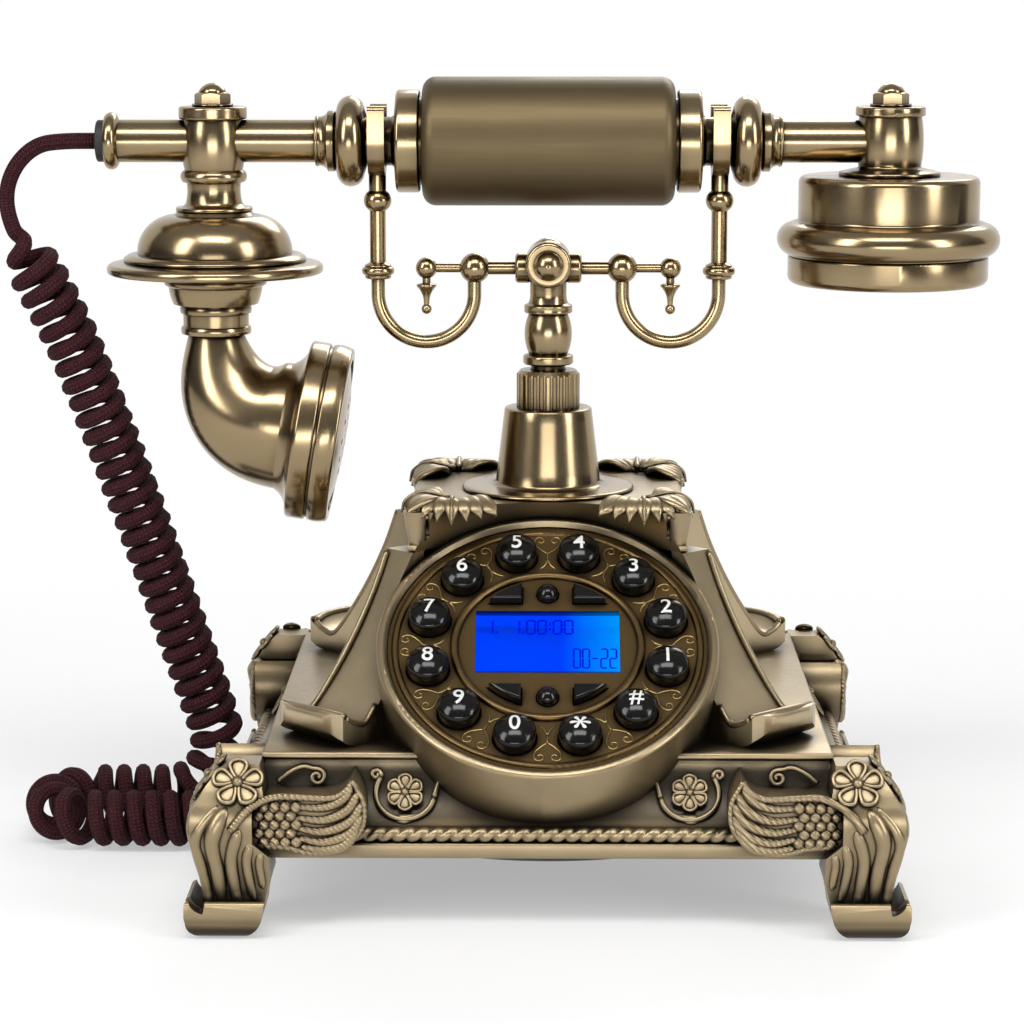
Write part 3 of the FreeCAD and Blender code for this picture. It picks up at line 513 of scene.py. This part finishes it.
feather_bronze = aged_metal("feather_bronze", (0.36, 0.28, 0.166), (0.032, 0.025, 0.016), 0.34, 4.0,
                            metallic=0.85, hatch=0.75)
# Lighter copy of the casting bronze for the brackets and housing: partly their polished wear, partly painted
# light that brightens them.
wear_and_painted_light_bronze = aged_metal("wear_and_painted_light_bronze", (0.5, 0.4, 0.25), (0.05, 0.039, 0.024), 0.32, 7.0,
                         metallic=0.85, grain=500.0, grain_depth=0.03)
engraved_gold = aged_metal("engraved_gold", (0.42, 0.30, 0.12), (0.16, 0.10, 0.04), 0.3, 0.6)
digit_white = printed("digit_white", (0.62, 0.62, 0.6))
segment_blue = printed("segment_blue", (0.0, 0.004, 0.36), 1.0)


def dress_frame():
    """Give every CAD node its material and smooth shading with crisp edges."""
    crisp_deg = 35
    for subpart in frame["record"]["subparts"]:
        node = nodes[subpart["node"]]
        node.data.materials.clear()
        node.data.materials.append(materials[subpart["material_slot"]])
        node.data.polygons.foreach_set("use_smooth", [True] * len(node.data.polygons))
        weld = node.modifiers.new("weld", "WELD")
        weld.merge_threshold = 0.001 * mm
        split = node.modifiers.new("crisp", "EDGE_SPLIT")
        split.split_angle = math.radians(crisp_deg)
    nodes["plinth"].data.materials[0] = frieze_bronze
    # Brackets and housing take the lighter bronze copy, painted light over their wear.
    for name in ("scroll_brackets", "base_housing"):
        nodes[name].data.materials[0] = wear_and_painted_light_bronze


# Curly cord
def eased(value):
    """Ease from 0 to 1."""
    value = min(max(value, 0.0), 1.0)
    return value * value * (3 - 2 * value)


def route_points():
    """Points along the cord's axis, read from a smooth spline with the route's poles."""
    curve = bpy.data.curves.new("cord_route", "CURVE")
    curve.dimensions = "3D"
    curve.resolution_u = 64
    spline = curve.splines.new("NURBS")
    spline.points.add(len(cord_poles) - 1)
    for point, place in zip(spline.points, cord_poles):
        point.co = (*place, 1)
    spline.order_u = 3
    spline.use_endpoint_u = True
    points, _ = emptied(curve)
    return points


def wound_wire():
    """Wire's centreline, straight out of both ends and wound round the route between them."""
    axis = route_points()
    walked = walk(axis)
    coil_stop = walked[-1] - coil_to_end
    side = Vector((0, 1, 0))
    turn = 0.0
    behind = None
    wire = [cord_start]
    for index, centre in enumerate(axis):
        ahead = heading(axis, index)
        side = (side - ahead * side.dot(ahead)).normalized()
        here = walked[index]
        grown = eased((here - coil_from) / coil_ramp) * eased((coil_stop - here) / coil_ramp)
        if behind and coil_from < here < coil_stop:
            step = here - walked[index - 1]
            bend = behind.angle(ahead, 0.0) / step
            turn += step / (coil_pitch + pitch_per_bend * bend + ramp_pitch * (1 - grown))
        behind = ahead
        angle = 2 * math.pi * turn
        out = side * math.cos(angle) + ahead.cross(side) * math.sin(angle)
        wire.append(centre + out * (coil_r * grown))
    return wire + [cord_end]


def curly_cord():
    """Braided tube wound as one unbroken cord."""
    wire = wound_wire()
    sides = 10
    cord = piece("braided_cord", tube(wire, wire_r, sides), materials["cord_cover"], None)
    walked = walk(wire)
    cover = cord.data.uv_layers.new(name="cover")
    for polygon in cord.data.polygons:
        if polygon.loop_total > 4:
            continue
        for corner, loop in enumerate(polygon.loop_indices):
            ring, place = divmod(cord.data.loops[loop].vertex_index, sides)
            wrapped = place == 0 and corner in (1, 2)
            cover.data[loop].uv = (walked[ring] * mm, 1.0 if wrapped else place / sides)
    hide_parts("curly_cord")
    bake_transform(cord)


# Dial
def key_digits():
    """White digit on each key, bent to its crown."""
    digit_height = 5.2
    digit_lift = 1.1
    faces = {"star": "*", "hash": "#"}
    star_turn = turned(90) @ Matrix.Scale(1.6, 4)
    names = ("2", "3", "4", "5", "6", "7", "8", "9", "0", "star", "hash", "1")
    for index, name in enumerate(names):
        turn = math.radians(key_step_deg * (index + 0.5))
        place = Matrix.Translation(Vector((key_ring_r * math.cos(turn), key_ring_r * math.sin(turn), 0)))
        points, mesh_faces = flat_text(faces.get(name, name), digit_height)
        if name == "star":
            points = [star_turn @ point for point in points]
        crowned = []
        for point in [spot + Vector((0, digit_lift, 0)) for spot in points]:
            reach = min(point.length, key_crown_r * 0.9)
            drop = key_crown_r - math.sqrt(key_crown_r ** 2 - reach ** 2)
            crowned.append(Vector((point.x, point.y, key_crown_z - drop + 0.05)))
        piece("digit_" + name, moved((crowned, mesh_faces), dial_frame @ place), digit_white, "key_" + name)


def flat_text(words, height):
    """Bold filled text, centred, in small faces that can be bent."""
    cap_share = 0.69
    narrow = Matrix.Diagonal((0.88, 1, 1))
    curve = bpy.data.curves.new("words", "FONT")
    curve.body = words
    curve.size = height / cap_share
    curve.offset = 0.016 * height
    curve.align_x = "CENTER"
    points, faces = emptied(curve)
    low = Vector([min(point[axis] for point in points) for axis in range(3)])
    high = Vector([max(point[axis] for point in points) for axis in range(3)])
    points = [narrow @ (point - (low + high) / 2) for point in points]
    for _ in range(3):
        points, faces = halved(points, faces)
    return points, faces


def halved(points, faces):
    """Triangles fanned from the faces, each cut in four."""
    points = list(points)
    middles = {}
    cut = []

    def middle(first, second):
        key = (min(first, second), max(first, second))
        if key not in middles:
            middles[key] = len(points)
            points.append((points[first] + points[second]) / 2)
        return middles[key]

    for face in faces:
        for second, third in zip(face[1:], face[2:]):
            first = face[0]
            a, b, c = middle(first, second), middle(second, third), middle(third, first)
            cut += [[first, a, c], [a, second, b], [c, b, third], [a, b, c]]
    return points, cut


def dial_engraving():
    """Two scrolls between neighbouring keys that curl at the plate's rim, with a stalk and two leaves."""
    line_r = 0.22
    scroll = ((34.4, 0.1), (35.8, 1.9), (37.6, 3.4), (39.4, 3.6), (40.5, 2.7), (40.2, 1.5), (39.1, 1.1),
              (38.4, 1.9), (38.9, 2.6))
    leaf = ((31.6, 0.1), (30.0, 0.8), (28.6, 2.1))
    strokes = []
    for lean in (1, -1):
        curl = through([(out, lean * side, plate_front) for out, side in scroll], 5)
        frond = through([(out, lean * side, plate_front) for out, side in leaf], 4)
        strokes += [tube(curl, line_r, 6), tapered(frond, 0.4, 0.12)]
    stalk = through([(34.4, 0, plate_front), (33.0, 0, plate_front), (31.6, 0, plate_front)], 3)
    strokes.append(tapered(stalk, 0.35, 0.15))
    motif = merged(strokes)
    turns = [turned(degrees) for degrees in range(0, 360, key_step_deg)]
    scrolls = [moved(motif, dial_frame @ turn) for turn in turns]
    piece("dial_scrolls", merged(scrolls), engraved_gold, "base")


def segment_row(text, left, low, height, width):
    """Flat seven-segment digits in a row, as thin tablets on the pane."""
    lit = {"0": "abcdef", "1": "bc", "2": "abged", "-": "g", " ": ""}
    stroke = 0.28 * width
    digit_width = 0.72 * width
    dot_inset, dot_width = 0.08 * width, 0.39 * width
    thick = 0.05
    ends = {"a": ((0, 1), (1, 1)), "b": ((1, 1), (1, 0.5)), "c": ((1, 0.5), (1, 0)), "d": ((0, 0), (1, 0)),
            "e": ((0, 0), (0, 0.5)), "f": ((0, 0.5), (0, 1)), "g": ((0, 0.5), (1, 0.5))}
    rods = []
    for mark in text:
        if mark in ".:":
            for lift in ((0.0,) if mark == "." else (0.25, 0.65)):
                spot = Vector((left + dot_inset, low + lift * height, pane_front + thick))
                rods.append(tube([spot, spot + Vector((0, stroke, 0))], stroke / 2, 4))
            left += dot_width
            continue
        for segment in lit[mark]:
            places = [Vector((left + x * digit_width, low + y * height, pane_front + thick))
                      for x, y in ends[segment]]
            trim = (places[1] - places[0]).normalized() * (0.2 * stroke)
            rods.append(tube([places[0] + trim, places[1] - trim], stroke / 2, 4))
        left += width
    flat = Matrix.Translation(Vector((0, 0, pane_front + thick))) @ Matrix.Scale(0.1, 4, Vector((0, 0, 1)))
    return moved(merged(rods), flat @ Matrix.Translation(Vector((0, 0, -pane_front - thick))))


def display_digits():
    """Clock row above and counter row below."""
    left = -pane_half_width
    top = pane_rise + pane_half_height
    rows = [segment_row("1. 1.00:00", left + 2.5, top - 8.3, 4.9, 3.1),
            segment_row("00-22", left + 27.2, top - 20.6, 6.8, 2.5)]
    piece("display_digits", moved(merged(rows), dial_frame), segment_blue, "base")


# Ornament of one side of the base, given for its right half and seen from the front
def rope_moulding():
    """Twisted rope laid over the plinth's round moulding."""
    half_length, rope_r, twist = 68.0, 2.1, 3.9
    rope_y, rope_z = -86.9, 26.6
    sides, step = 24, 0.35
    rings = []
    for index in range(int(2 * half_length / step) + 1):
        x = -half_length + step * index
        ring = []
        for k in range(sides):
            turn = 2 * math.pi * k / sides
            swell = 1 - 0.34 * abs(math.sin(turn + math.pi * x / twist)) ** 5
            ring.append(Vector((x, rope_y + rope_r * swell * math.cos(turn),
                                rope_z + rope_r * swell * math.sin(turn))))
        rings.append(ring)
    casting("rope_moulding", on_sides(rings_to_shape(rings)))


def wing():
    """Nested curved feathers beside the leg, with a rim round them and scales at their roots."""
    face_y = -92.2
    feathers = [((68, 35.6), (60, 35.4), (54.5, 38.0), (52.4, 42.0)),
                ((67.5, 32.6), (60, 31.9), (53.5, 34.8), (50.6, 40.0)),
                ((67, 29.7), (60, 28.7), (52.8, 31.6), (49.6, 37.0)),
                ((66.5, 27.0), (60, 25.8), (53.0, 28.3), (49.6, 33.6)),
                ((66, 24.6), (60, 23.8), (54.5, 25.2), (50.6, 30.0))]
    parts = []
    for order, places in enumerate(feathers):
        spine = through([(x, face_y - 0.1 * order, z) for x, z in places], 7)
        parts.append(blade(spine, (0, -1, 0), 1.5, 0.9, blunt=True))
    upper = through([(84.6, -95.6, 30.0), (81.6, -95.8, 34.0), (78.4, -94.2, 36.6),
                     (73.2, face_y, 38.2), (66.2, face_y, 38.2), (58.1, face_y, 38.0),
                     (54.0, face_y, 40.2), (52.3, face_y, 42.8)], 5)
    lower = through([(52.3, face_y, 42.8), (49.2, face_y, 36.5), (50.0, face_y, 29.4), (55.9, face_y, 23.9),
                     (63.9, face_y, 23.1), (70.0, face_y, 24.6), (78.0, face_y, 25.0)], 5)
    parts += [tapered(upper, 1.3, 0.7), tapered(lower, 0.7, 1.0)]
    for row in range(5):
        for column in range(4):
            x = 67.4 + 2.9 * column + 1.45 * (row % 2)
            parts.append(bead((x, face_y, 26.0 + 2.4 * row), (0, -1, 0.15), 1.75, 0.8))
    return merged(parts)


def leg_face(height):
    """How far out the leg's face stands at a height."""
    outline = ((0, 93.4), (7.2, 92.4), (12.0, 92.0), (19.6, 93.2), (29.0, 95.6), (37.0, 94.0), (46.0, 87.0))
    for (low, near), (high, far) in zip(outline, outline[1:]):
        if height <= high:
            return near + (far - near) * (height - low) / (high - low)
    return outline[-1][1]


def leg_ribs():
    """Swelling ribs between dark flutes, from the shoulder down to the toe."""
    ribs = ((((88.0, 36.5), (94.0, 27.5), (91.8, 14.5), (90.6, 7.4)), 1.8, 1.3),
            (((85.6, 36.0), (89.7, 27.5), (88.6, 17.8), (87.4, 7.4)), 2.9, 1.8),
            (((82.4, 30.7), (84.8, 22.3), (84.3, 14.5), (83.1, 7.4)), 2.2, 1.7),
            (((79.6, 26.2), (80.7, 21.0), (80.0, 14.5), (79.0, 9.4)), 1.8, 1.3),
            (((76.6, 23.6), (77.4, 20.4), (76.9, 15.8), (76.6, 12.8)), 1.4, 1.0))
    end_share = 0.16
    parts = []
    for places, thick, thin in ribs:
        spine = through([(x, 0, z) for x, z in places], 8)
        last = len(spine) - 1
        radii = []
        for index, point in enumerate(spine):
            t = index / last
            from_end = min(min(t, 1 - t) / end_share, 1)
            radii.append((thick + (thin - thick) * t) * (0.25 + 0.75 * math.sqrt(from_end)))
            point.y = 0.3 * radii[-1] - leg_face(point.z)
        parts.append(tube(spine, radii, 12))
    return merged(parts)


def leg_flower():
    """Flower on the leg's shoulder, and an S-scroll on the frieze beside it."""
    tendril = through([(73.4, -80.2, 39.2), (70, -78.8, 41.7), (66.5, -77.8, 43.0), (63.6, -78.2, 42.5)], 6)
    curl = spiral_line((62.6, -79.2, 40.4), (1, 0, 0), (0, 0.42, 0.9), 2.4, 0.5, 78, 1.4)
    bloom = flower((83.0, -90.9, 41.8), (0, -0.78, 0.62), 6.8)
    return merged([bloom, tapered(tendril[:-1] + curl, 0.8, 0.6)])


def frieze_medallion():
    """Flower in the bowl of a C-scroll on the sloping frieze."""
    centre = Vector((38.6, -80.6, 36.6))
    out = Vector((0, -0.854, 0.52))
    up = Vector((0, 0.52, 0.854))
    right = Vector((1, 0, 0))
    bowl = [centre + right * (8.0 * math.cos(a)) + up * (7.6 * math.sin(a))
            for a in [math.radians(35 - 205 * step / 24) for step in range(25)]]
    curl = spiral_line(bowl[0] + right * 1.5 + up * 0.6, right, up, 1.6, 0.4, 200, -1.2, 14)
    stalk = through([bowl[-1], centre - right * 9.4 + up * 3.4, centre - right * 12.6 + up * 4.6], 5)
    leaf = through([bowl[12], bowl[12] - right * 3.5 - up * 0.4, bowl[12] - right * 7.5 + up * 1.2], 5)
    return merged([flower(centre, out, 5.0, petals=6), tube(bowl, 0.85), tapered(curl, 0.85, 0.6),
                   tapered(stalk, 0.85, 0.5), blade(leaf, out, 1.6, 0.7)])


def side_ornament():
    """Wings, ribs, flowers and scrolls of all four sides, with the frieze left bare at the line jack."""
    casting("wing_feathers", on_sides(on_both_halves(wing())), feather_bronze)
    casting("leg_ribs", on_sides(on_both_halves(leg_ribs())))
    casting("leg_flowers", on_sides(on_both_halves(leg_flower())))
    medallion = frieze_medallion()
    quarters_without_jack = (0, 1, 3)
    halves = [on_sides(medallion), on_sides(mirrored(medallion), quarters_without_jack)]
    casting("frieze_medallions", merged(halves))


def corner_leaves():
    """Acanthus leaf that drapes over the platform's edge near each corner."""
    middle = 27
    lobes = []
    for step in range(-3, 4):
        reach = abs(step)
        spine = through([(middle + 0.8 * step, -29 - 0.3 * reach, 107.4),
                         (middle + 2.4 * step, -35.6 + 0.7 * reach, 109.2),
                         (middle + 3.6 * step, -39.6 + 0.5 * reach, 107.6),
                         (middle + 4.2 * step, -40.9 + 0.5 * reach, 103 + 0.9 * reach)], 6)
        lobes.append(blade(spine, (0, -0.6, 1), 2.9, 1.0))
    vein = [(middle, -28, 108.6), (middle, -35.6, 110.2), (middle, -40.4, 108.0), (middle, -41.6, 104.4)]
    lobes.append(tapered(through(vein, 6), 0.8, 0.35))
    casting("corner_leaves", on_sides(on_both_halves(merged(lobes))))


def clear_of_drum(point):
    """Whether a point of the base lies outside the dial's drum."""
    local = dial_frame.inverted() @ point
    margin = 1.6
    return local.z < -drum_depth - margin or math.hypot(local.x, local.y) > dial_r + margin


def bracket_trim():
    """Raised edges down each scroll bracket and a rolled edge on its lip, left off inside the drum."""
    profile = [(55.6, 94), (60.2, 83.6), (66.6, 72.4), (74.0, 61.8), (82, 52.6), (87, 52.8), (90.4, 54.8)]
    lip = through([(90.6, -12.4, 55.4), (92.6, -7, 56.1), (93.2, 0, 56.3), (92.6, 7, 56.1),
                   (90.6, 12.4, 55.4)], 6)
    parts = []
    for quarter in range(4):
        turn = turned(45 + 90 * quarter)
        for lean in (1, -1):
            edge = through([(u, lean * (7.2 + 5.5 * (u - 40) / 55), z + 0.3) for u, z in profile], 8)
            placed = [turn @ point for point in edge]
            parts.append(tube([point for point in placed if clear_of_drum(point)], 1.0))
        parts.append(tube([turn @ point for point in lip], 1.2))
    casting("bracket_trim", merged(parts))


# Studio
def white_behind(name):
    """Pale paper that keeps the shadow near the object and shows plain white behind it."""
    material, tree, shader = shader_tree(name)
    cloudy = from_noise(tree, object_noise(tree, 8.0), 0.0, 1.0)
    shade = mixed(tree, cloudy, (0.80, 0.80, 0.80, 1), (0.83, 0.83, 0.83, 1))
    tree.links.new(shade, shader.inputs["Base Color"])
    shader.inputs["Roughness"].default_value = 0.9
    where = add(tree, "SeparateXYZ", {"Vector": add(tree, "TexCoord").outputs["Object"]}).outputs["Y"]
    rays = add(tree, "LightPath").outputs
    seen = rays["Is Camera Ray"]
    for ray in ("Is Glossy Ray", "Is Transmission Ray"):
        seen = reckoned(tree, "MAXIMUM", seen, rays[ray])
    share = reckoned(tree, "MULTIPLY", seen, ranged(tree, where, 0.08, 0.4, 0.4, 1.0))
    glow = add(tree, "Emission", {"Color": (1, 1, 1, 1), "Strength": 1.0})
    faded = add(tree, "MixShader", {0: share, 1: shader.outputs[0], 2: glow.outputs[0]})
    tree.links.new(faded.outputs[0], tree.nodes["Material Output"].inputs["Surface"])
    return material


def studio():
    """Pale floor and backdrop, soft lamps and a dim dome of light."""
    world = bpy.data.worlds.new("studio")
    scene.world = world
    world.use_nodes = True
    tree = world.node_tree
    sky = tree.nodes["Background"]
    aim = add(tree, "SeparateXYZ", {"Vector": add(tree, "TexCoord").outputs["Generated"]}).outputs["Z"]
    dome = mixed(tree, ranged(tree, aim, 0.0, 0.9, 0.0, 1.0), (0.05, 0.05, 0.055, 1), (0.4, 0.4, 0.4, 1))
    tree.links.new(dome, sky.inputs["Color"])
    floor_half = 4000
    floor_low, backdrop_top = -0.3, 3000
    floor = [(-1, -1, floor_low), (1, -1, floor_low), (1, 1, floor_low), (-1, 1, floor_low)]
    backdrop = [(-1, 0.4, floor_low), (1, 0.4, floor_low), (1, 0.4, backdrop_top), (-1, 0.4, backdrop_top)]
    for name, corners in (("floor", floor), ("backdrop", backdrop)):
        sheet = [Vector((floor_half * x, floor_half * y, z)) for x, y, z in corners], [[0, 1, 2, 3]]
        piece(name, sheet, white_behind(name + "_paper"), None)
    lamps = {"left_softbox": ((-0.9, -0.8, 0.8), (0.4, 1.0), 10.0),
             "right_softbox": ((1.0, -0.7, 0.6), (0.3, 0.9), 8.0),
             "overhead": ((0.0, -0.75, 1.25), (0.9, 0.35), 9.5),
             "front_fill": ((0.0, -1.6, 0.1), (0.9, 0.3), 7.5),
             "rim": ((0.3, 1.2, 0.9), (0.8, 0.4), 6.0)}
    lamp_aim = Vector((0, 0, 0.12))
    for name, (place, size, power) in lamps.items():
        lamp = bpy.data.lights.new(name, "AREA")
        lamp.energy = power
        lamp.shape = "RECTANGLE"
        lamp.size, lamp.size_y = size
        holder = bpy.data.objects.new(name, lamp)
        holder.location = place
        holder.rotation_euler = (lamp_aim - holder.location).to_track_quat("-Z", "Y").to_euler()
        scene.collection.objects.link(holder)


def camera():
    """Camera at the photograph's place and angle."""
    lens = bpy.data.cameras.new("camera")
    lens.lens = 109.5
    lens.sensor_width = 36.0
    holder = bpy.data.objects.new("camera", lens)
    holder.location = (0.0, -0.9, 0.2577)
    pitch_deg = 9.95
    yaw_deg = 0.67
    holder.rotation_euler = (math.radians(90 - pitch_deg), 0, math.radians(yaw_deg))
    scene.collection.objects.link(holder)
    scene.camera = holder


dress_frame()
curly_cord()
key_digits()
dial_engraving()
display_digits()
rope_moulding()
side_ornament()
corner_leaves()
bracket_trim()
studio()
camera()
scene.view_settings.view_transform = "Standard"
